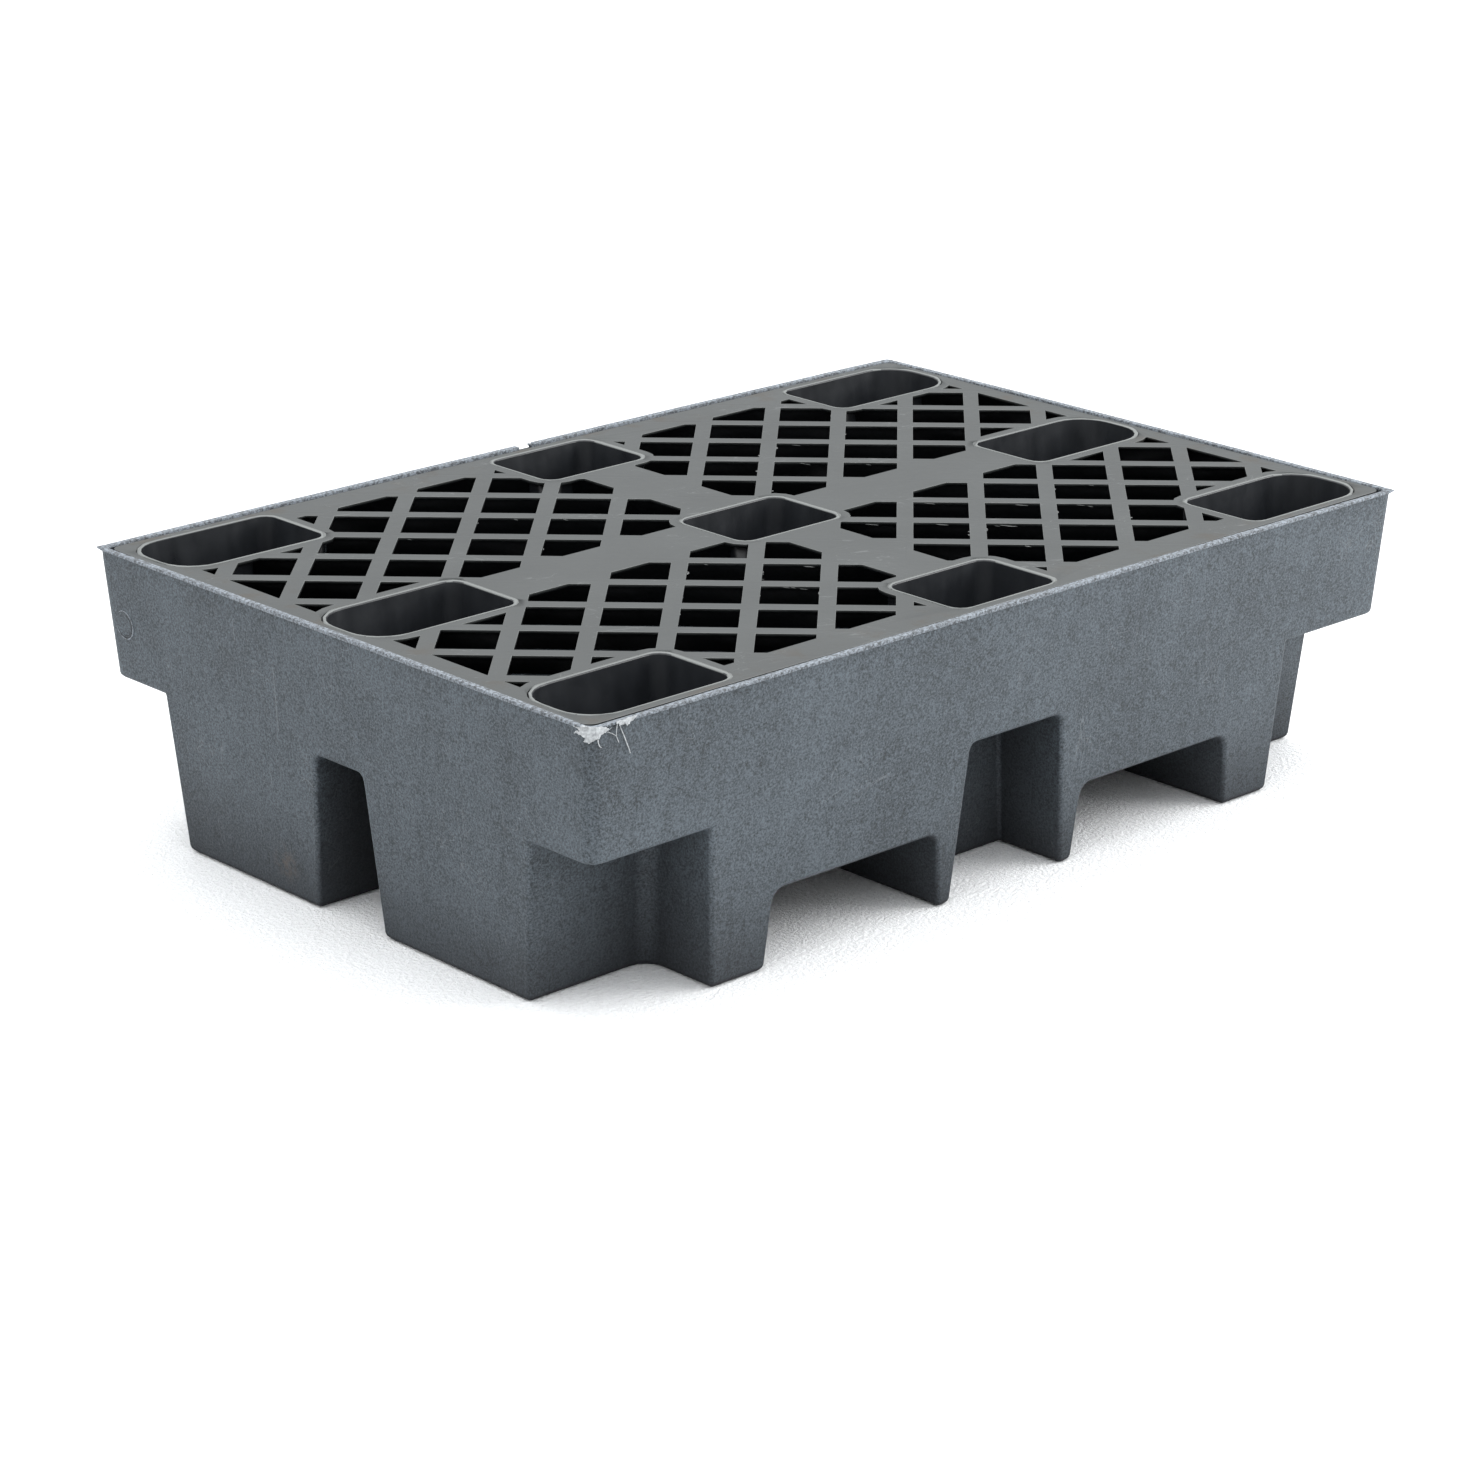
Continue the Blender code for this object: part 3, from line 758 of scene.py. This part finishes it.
class PALLET_OT_ring_mark(Operator):
    """Add the double ring moulded into the left wall"""

    bl_idname = "pallet.ring_mark"
    bl_label = "Ring Mark"

    def execute(self, context):
        settings = context.scene.pallet_tub
        shape = bmesh.new()
        earlier = set()
        middle_y, middle_z = settings.ring_place
        for share, width, height, start, end, material in RINGS:
            radius = settings.ring_radius * share
            sections = []
            for index in range(RING_STEPS + 1):
                turn = math.radians(start + (end - start) * index / RING_STEPS)
                way = Vector((0, math.cos(turn), math.sin(turn)))
                fade = min(1.0, 4 * index / RING_STEPS, 4 * (RING_STEPS - index) / RING_STEPS)
                centre = end_point(middle_y + radius * way.y, middle_z + radius * way.z)
                out = Vector((-height * (0.1 + 0.9 * fade), 0, 0))
                sections.append((centre, way * width * (0.4 + 0.6 * fade), out))
            draw_out(shape, sections)
            for face in shape.faces:
                if face not in earlier:
                    face.material_index = material
                    earlier.add(face)
        # The outer ring's pale plastic is a painted highlight; the inner rings' dark plastic is painted
        # shade.
        materials = [bpy.data.materials["rim_plastic"], groove_shade_plastic(settings)]
        even_shading(piece(shape, "ring_mark", TUB_BODY, materials))
        return {"FINISHED"}


class PALLET_OT_torn_film(Operator):
    """Add the torn white film and its strands on the front left corner of the rim"""

    bl_idname = "pallet.torn_film"
    bl_label = "Torn Film"

    def film(self, shape, outline, seed):
        """Drape a ragged film over the rim, inside an outline."""
        low = Vector((min(point[0] for point in outline), min(point[1] for point in outline), 0))
        high = Vector((max(point[0] for point in outline), max(point[1] for point in outline), 0))
        wide, deep, _ = (high - low) / FILM_CELL
        made = bmesh.ops.create_grid(shape, x_segments=int(wide), y_segments=int(deep), size=0.5)["verts"]
        for vert in made:
            share = vert.co + Vector((0.5, 0.5, 0))
            vert.co = low + Vector((share.x * (high.x - low.x), share.y * (high.y - low.y), 0))
        outside = []
        for face in once(face for vert in made for face in vert.link_faces):
            middle = face.calc_center_median()
            shaken = middle + 0.0016 * noise.noise_vector(middle * 420.0 + Vector((seed, 0, 0)))
            if not encloses(outline, shaken.x, shaken.y):
                outside.append(face)
        bmesh.ops.delete(shape, geom=outside, context="FACES")
        for vert in made:
            if vert.is_valid:
                along, down = vert.co.x, vert.co.y
                place, out = rim_point(along)
                fold = noise.noise_vector(Vector((along * 260.0, down * 260.0, seed)))
                lift = 0.0003 + 0.0022 * abs(fold.x)
                inset = max(0.0, -down) + SIDE_DRAFT * max(0.0, down)
                drop = max(0.0, down) + 0.0006 * crown(place.x, place.y)
                place = place - out * (inset - lift) + Vector((0, 0, 0.0006 * fold.y - drop))
                vert.co = place + 0.0004 * fold
                vert.co.x = max(vert.co.x, TUB_LOW.x + FILM_ROOM)
                vert.co.y = max(vert.co.y, TUB_LOW.y + FILM_ROOM)
        faces = once(face for vert in made if vert.is_valid for face in vert.link_faces)
        shape.normal_update()
        added = bmesh.ops.solidify(shape, geom=faces, thickness=FILM_THICKNESS)["geom"]
        turn_out(shape, once(faces + [item for item in added if isinstance(item, bmesh.types.BMFace)]))

    def strand(self, shape, points, half):
        """A thin fibre through points on the front wall."""
        sections = []
        for index, (x, z, lift) in enumerate(points):
            share = index / (len(points) - 1)
            size = half * (1.0 - 0.35 * share)
            centre = wall_point(x, z, lift)
            sections.append((centre, Vector((size, 0, 0)), Vector((0, -size, 0.2 * size))))
        earlier = set(shape.faces)
        draw_out(shape, sections)
        turn_out(shape, [face for face in shape.faces if face not in earlier])

    def execute(self, context):
        shape = bmesh.new()
        self.film(shape, FILM_OUTLINE, 3.0)
        self.film(shape, FLAP_OUTLINE, 11.0)
        for half, points in FIBRES:
            self.strand(shape, points, half)
        keep_inside(shape)
        piece(shape, "torn_film", TUB_BODY, [torn_plastic()])
        return {"FINISHED"}


class PALLET_OT_deck(Operator):
    """Finish the grid deck"""

    bl_idname = "pallet.deck"
    bl_label = "Grid Deck"

    def execute(self, context):
        settings = context.scene.pallet_deck
        shape = merged_copy("deck_grid")
        close_specks(shape, DECK_HIGH.z, settings.speck_size)
        merge_flat(shape)
        plate_low = DECK_HIGH.z - settings.plate_thickness
        mouths = [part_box(node) for node in FEET]

        def on_mouth(edge):
            """Whether an edge of the plate's face runs round the mouth of a foot."""
            place = (edge.verts[0].co + edge.verts[1].co) / 2
            wall = min(edge.link_faces, key=lambda face: abs(face.normal.z))
            return any(
                low[0] - WELD < place.x < high[0] + WELD and low[1] - WELD < place.y < high[1] + WELD
                and wall.normal.dot((Vector(low) + Vector(high)) / 2 - place) > 0
                for low, high in mouths
            )

        # Painted shade: faces below the plate, and faces looking down, take the dark underside plastic.
        for face in shape.faces:
            low = min(vert.co.z for vert in face.verts)
            face.material_index = 0 if low > plate_low - FINE and face.normal.z > -0.5 else 2
        edges = sharp_edges(shape, lambda place: place.z > DECK_HIGH.z - FINE)
        edges = [edge for edge in edges if not on_mouth(edge)]
        # Painted highlight: the rounded edges take the paler edge plastic.
        for face in round_off(shape, edges, settings.edge_radius):
            face.material_index = 1
        refill_top(shape, DECK_HIGH.z)
        materials = [deck_plastic(settings), edge_highlight_plastic(settings), underside_shade_plastic(settings)]
        even_shading(piece(shape, "deck_plate", DECK_BODY, materials, ["deck_grid"]))
        return {"FINISHED"}


class PALLET_OT_grid_flash(Operator):
    """Add the thin slivers of plastic left along the edges of the grid's bars"""

    bl_idname = "pallet.grid_flash"
    bl_label = "Grid Flash"

    def execute(self, context):
        settings = context.scene.pallet_deck
        chance = random.Random(20)
        shape = bmesh.new()
        half_bar = BAR_WIDTH / 2
        for _ in range(settings.sliver_count):
            side_x, side_y = chance.choice((-1, 1)), chance.choice((-1, 1))
            slope = chance.choice((-1, 1))
            rough = Vector((side_x * chance.uniform(0.09, 0.36), side_y * chance.uniform(0.09, 0.24), 0))
            along = Vector((1, slope, 0)).normalized()
            across = Vector((-along.y, along.x, 0))
            spacing = BAR_PITCH * abs(across.x)
            line = round(rough.dot(across) / spacing) * spacing
            cell = (round(rough.dot(along) / spacing - 0.5) + 0.5) * spacing
            edge = chance.choice((-1, 1))
            start = along * (cell + chance.uniform(-0.022, 0.014))
            start += across * (line + edge * (half_bar - 0.0004))
            start.z = DECK_HIGH.z - chance.uniform(0.0010, 0.0030)
            length, width = chance.uniform(0.004, 0.016), chance.uniform(0.0005, 0.0016)
            sections = []
            for share, size in SLIVER_STEPS:
                sway = across * edge * width * size
                droop = Vector((0, 0, -0.0012 * share * share))
                centre = start + along * (length * share) + sway + droop
                sections.append((centre, across * width * size, Vector((0, 0, 0.00022))))
            draw_out(shape, sections)
        # The slivers take the pale edge plastic, a painted highlight.
        piece(shape, "grid_flash", DECK_BODY, [bpy.data.materials["edge_highlight_plastic"]])
        return {"FINISHED"}


class PALLET_OT_feet(Operator):
    """Finish the deck's nine hollow feet"""

    bl_idname = "pallet.feet"
    bl_label = "Hollow Feet"

    def inward(self, edge, middle, half):
        """Whether a mouth edge lies on the inside of the ledge."""
        return all(
            abs(vert.co.x - middle.x) < min(0.975 * half.x, half.x - 0.0035)
            and abs(vert.co.y - middle.y) < min(0.975 * half.y, half.y - 0.0035)
            for vert in edge.verts
        )

    def execute(self, context):
        settings = context.scene.pallet_deck
        materials = [pocket_shade_plastic(settings), bpy.data.materials["deck_plastic"]]
        for node in FEET:
            low, high = (Vector(corner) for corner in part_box(node))
            shape = merged_copy(node)
            middle = (low + high) / 2
            half = (high - low) / 2
            mouth = []
            # Painted shade: the inside of each foot takes the dark pocket plastic, and its mouth the deck
            # plastic.
            for face in shape.faces:
                face.material_index = 1 if min(vert.co.z for vert in face.verts) > high.z - FINE else 0
                if face.material_index:
                    mouth.append(face)
            inner = once(
                edge for face in mouth for edge in face.edges
                if edge.is_manifold and edge.calc_face_angle() > 0.6 and self.inward(edge, middle, half)
            )
            for vert in shape.verts:
                if vert.co.z < high.z - FINE:
                    continue
                vert.co.z = DECK_HIGH.z - 5 * FINE
                if not any(edge in inner for edge in vert.link_edges):
                    away = Vector((vert.co.x - middle.x, vert.co.y - middle.y, 0)).normalized()
                    vert.co += away * settings.lip_tuck
            round_off(shape, inner, settings.lip_radius, 3)
            name = node.replace("foot", "hollow_foot")
            even_shading(piece(shape, name, DECK_BODY, materials, [node]))
        return {"FINISHED"}


class PALLET_OT_stage(Operator):
    """Lay the floor, and set up the lights and the camera"""

    bl_idname = "pallet.stage"
    bl_label = "Stage"

    def execute(self, context):
        settings = context.scene.pallet_stage
        scene = context.scene
        shape = bmesh.new()
        bmesh.ops.create_grid(shape, x_segments=1, y_segments=1, size=settings.floor_size / 2)
        mesh = bpy.data.meshes.new("studio_floor")
        shape.to_mesh(mesh)
        shape.free()
        mesh.materials.append(floor_paint(settings))
        floor = bpy.data.objects.new("studio_floor", mesh)
        scene.collection.objects.link(floor)

        world = bpy.data.worlds.new("studio_air")
        world.use_nodes = True
        air = world.node_tree.nodes["Background"]
        air.inputs["Color"].default_value = (*settings.air_color, 1.0)
        tree = world.node_tree
        way = tree.nodes.new("ShaderNodeTexCoord")
        split = tree.nodes.new("ShaderNodeSeparateXYZ")
        fade = tree.nodes.new("ShaderNodeMapRange")
        fade.interpolation_type = "SMOOTHSTEP"
        fade.inputs["From Min"].default_value = 0.0
        fade.inputs["From Max"].default_value = settings.air_height
        fade.inputs["To Min"].default_value = settings.air_low
        fade.inputs["To Max"].default_value = settings.air_strength
        tree.links.new(way.outputs["Generated"], split.inputs[0])
        tree.links.new(split.outputs["Z"], fade.inputs["Value"])
        tree.links.new(fade.outputs["Result"], air.inputs["Strength"])
        scene.world = world
        lights = (
            ("overhead_softbox", settings.overhead_power, 2.6, (0.3, 0.2, 2.6)),
            ("side_softbox", settings.side_power, 2.0, (2.6, -2.4, 1.8)),
            ("end_softbox", settings.end_power, 1.6, (-3.0, 0.4, 1.5)),
        )
        for name, power, size, place in lights:
            data = bpy.data.lights.new(name, "AREA")
            data.energy = power
            data.size = size
            light = bpy.data.objects.new(name, data)
            light.location = place
            way_down = Vector((0, 0, 0.15)) - light.location
            light.rotation_euler = way_down.to_track_quat("-Z", "Y").to_euler()
            scene.collection.objects.link(light)

        data = bpy.data.cameras.new("camera")
        data.lens = settings.lens
        data.sensor_width = 36.0
        data.clip_end = 100.0
        camera = bpy.data.objects.new("camera", data)
        turn, lift = settings.azimuth, settings.elevation
        back = Vector((math.sin(turn) * math.cos(lift), -math.cos(turn) * math.cos(lift), math.sin(lift)))
        camera.location = Vector(settings.focus) + back * settings.distance
        camera.rotation_euler = (math.pi / 2 - lift, 0.0, turn)
        scene.collection.objects.link(camera)
        scene.camera = camera
        scene.view_settings.view_transform = "Standard"
        return {"FINISHED"}


# Settings


def shade(name, description, default):
    """A colour setting."""
    return FloatVectorProperty(
        name=name, description=description, subtype="COLOR", default=default, min=0.0, max=1.0,
    )


def metres(name, description, default):
    """A setting in metres."""
    return FloatProperty(name=name, description=description, unit="LENGTH", default=default)


def watts(name, description, default):
    """A setting in watts."""
    return FloatProperty(name=name, description=description, unit="POWER", default=default)


class TubSettings(PropertyGroup):
    """Sizes and colours of the sump tub."""

    wall_color: shade("Wall Colour", "Colour of the moulded walls", (0.052, 0.063, 0.073))
    # The colour that the walls darken to towards the bottom; the ring mark's inner rings also take it, as
    # painted shade.
    darkening_color: shade("Grime Colour", "Colour of the dust and grime low on the walls", (0.028, 0.030, 0.034))
    # Painted shade: the colour that walls in corners and recesses are darkened towards, and how near another
    # wall must be for it.
    recess_shade_color: shade("Recess Colour", "Colour of the walls deep in the recesses", (0.006, 0.0065, 0.0085))
    shade_reach: metres("Grime Reach", "How near a wall must be to another to stay dark", 0.16)
    scratch_color: shade("Scratch Colour", "Colour of fine scratches in the walls", (0.22, 0.24, 0.26))
    rim_color: shade("Rim Colour", "Colour of the trimmed rim", (0.128, 0.144, 0.162))
    wall_roughness: FloatProperty(
        name="Wall Roughness", description="Roughness of the moulded walls",
        default=0.6, min=0.0, max=1.0,
    )
    rim_radius: metres("Rim Rounding", "Radius of the rim's trimmed edges", 0.0012)
    rim_dip: metres("Rim Dip", "How far the rim drops at the corners", 0.0015)
    rim_ripple: metres("Rim Ripple", "Unevenness of the trimmed rim", 0.0006)
    rim_ripple_scale: FloatProperty(
        name="Rim Ripple Scale", description="Ripples of the rim in a metre",
        default=9.0,
    )
    rim_spacing: metres("Rim Spacing", "Distance between the rim's cross cuts", 0.04)
    band_height: metres("Rim Band Height", "Height of the band round the rim", 0.0042)
    band_step: metres("Rim Band Step", "How far the band stands proud of the wall", 0.0015)
    torn_inset: metres("Torn Inset", "How far the rim is worn back under the torn film", 0.0015)
    spur_length: metres("Spur Length", "Length of the spurs at the rim's corners", 0.0064)
    whole_above: metres("Whole Above", "Height above which flat walls are made whole faces", 0.21)
    ring_place: FloatVectorProperty(
        name="Ring Place", description="Where the ring mark lies on the left wall, as Y and Z",
        size=2, default=(0.3715, 0.2466),
    )
    ring_radius: metres("Ring Radius", "Radius of the ring mark", 0.016)


class DeckSettings(PropertyGroup):
    """Sizes and colours of the grid deck and its feet."""

    plate_color: shade("Plate Colour", "Colour of the deck's face", (0.044, 0.048, 0.0475))
    # Painted highlight: the paler colour of the deck's rounded edges.
    edge_highlight_color: shade("Edge Colour", "Colour of the worn edges", (0.110, 0.115, 0.112))
    stain_color: shade("Stain Colour", "Colour of the stains near the edges", (0.066, 0.056, 0.045))
    # Painted shade: the dark colour inside the hollow feet.
    pocket_shade_color: shade("Pocket Colour", "Colour inside the hollow feet", (0.012, 0.0135, 0.016))
    # Painted shade: the dark colour of the webs and the underside.
    underside_shade_color: shade("Underside Colour", "Colour of the webs and the underside", (0.022, 0.022, 0.024))
    plate_roughness: FloatProperty(
        name="Plate Roughness", description="Roughness of the deck's face",
        default=0.45, min=0.0, max=1.0,
    )
    sliver_count: IntProperty(
        name="Slivers", description="How many slivers of flash hang from the bars", default=64, min=1,
    )
    plate_thickness: metres("Plate Thickness", "Thickness of the deck's plate", 0.004)
    edge_radius: metres("Edge Rounding", "Radius of the grid's edges", 0.0011)
    speck_size: metres("Speck Size", "Openings smaller than this are closed", 0.012)
    lip_tuck: metres("Lip Tuck", "How far the lip runs on under the deck's face", 0.0007)
    lip_radius: metres("Lip Rounding", "Radius of the lip round each hollow foot", 0.002)


class StageSettings(PropertyGroup):
    """The floor, the lights and the camera."""

    floor_color: shade("Floor Colour", "Colour of the floor", (0.86, 0.865, 0.87))
    floor_size: metres("Floor Size", "Length of the floor's sides", 60.0)
    air_color: shade("Air Colour", "Colour of the light from all round", (0.97, 0.985, 1.0))
    air_strength: FloatProperty(
        name="Air Strength", description="Strength of the light from above",
        default=2.2,
    )
    air_low: FloatProperty(
        name="Low Air Strength", description="Strength of the light from the sides",
        default=0.45,
    )
    air_height: FloatProperty(
        name="Air Height", description="Share of the way up at which the light has its full strength",
        default=0.8,
    )
    overhead_power: watts("Overhead Power", "Power of the softbox above", 22.0)
    side_power: watts("Side Power", "Power of the softbox beside the long side", 85.0)
    end_power: watts("End Power", "Power of the softbox beside the short side", 4.0)
    lens: FloatProperty(
        name="Lens", description="Focal length of the camera, in millimetres",
        default=101.5,
    )
    azimuth: FloatProperty(
        name="Azimuth", description="Turn of the camera round the pallet",
        subtype="ANGLE", default=math.radians(-42.783),
    )
    elevation: FloatProperty(
        name="Elevation", description="Height angle of the camera",
        subtype="ANGLE", default=math.radians(19.523),
    )
    distance: metres("Distance", "Distance from the camera to its focus", 4.7073)
    focus: FloatVectorProperty(
        name="Focus", description="The point that the camera looks at",
        subtype="TRANSLATION", default=(-0.0371, -0.0005, 0.0777),
    )


class PALLET_PT_sidebar(Panel):
    """The pallet's pieces and settings"""

    bl_idname = "PALLET_PT_sidebar"
    bl_label = "Spill Pallet"
    bl_space_type = "VIEW_3D"
    bl_region_type = "UI"
    bl_category = "Spill Pallet"

    def draw(self, context):
        layout = self.layout
        for group in (context.scene.pallet_tub, context.scene.pallet_deck, context.scene.pallet_stage):
            box = layout.box()
            for name in group.__annotations__:
                box.prop(group, name)
        for operator in OPERATORS:
            layout.operator(operator.bl_idname)


OPERATORS = (
    PALLET_OT_tub, PALLET_OT_rim_flash, PALLET_OT_ring_mark, PALLET_OT_torn_film,
    PALLET_OT_deck, PALLET_OT_grid_flash, PALLET_OT_feet, PALLET_OT_stage,
)
SETTINGS = {"pallet_tub": TubSettings, "pallet_deck": DeckSettings, "pallet_stage": StageSettings}


def register():
    for group in SETTINGS.values():
        bpy.utils.register_class(group)
    for name, group in SETTINGS.items():
        setattr(bpy.types.Scene, name, PointerProperty(type=group))
    for item in (*OPERATORS, PALLET_PT_sidebar):
        bpy.utils.register_class(item)


def unregister():
    for item in (PALLET_PT_sidebar, *reversed(OPERATORS)):
        bpy.utils.unregister_class(item)
    for name in SETTINGS:
        delattr(bpy.types.Scene, name)
    for group in reversed(SETTINGS.values()):
        bpy.utils.unregister_class(group)


def main():
    """Build the pallet and its stage."""
    register()
    bpy.ops.pallet.tub()
    bpy.ops.pallet.rim_flash()
    bpy.ops.pallet.ring_mark()
    bpy.ops.pallet.torn_film()
    bpy.ops.pallet.deck()
    bpy.ops.pallet.grid_flash()
    bpy.ops.pallet.feet()
    bpy.ops.pallet.stage()


if __name__ == "__main__":
    main()
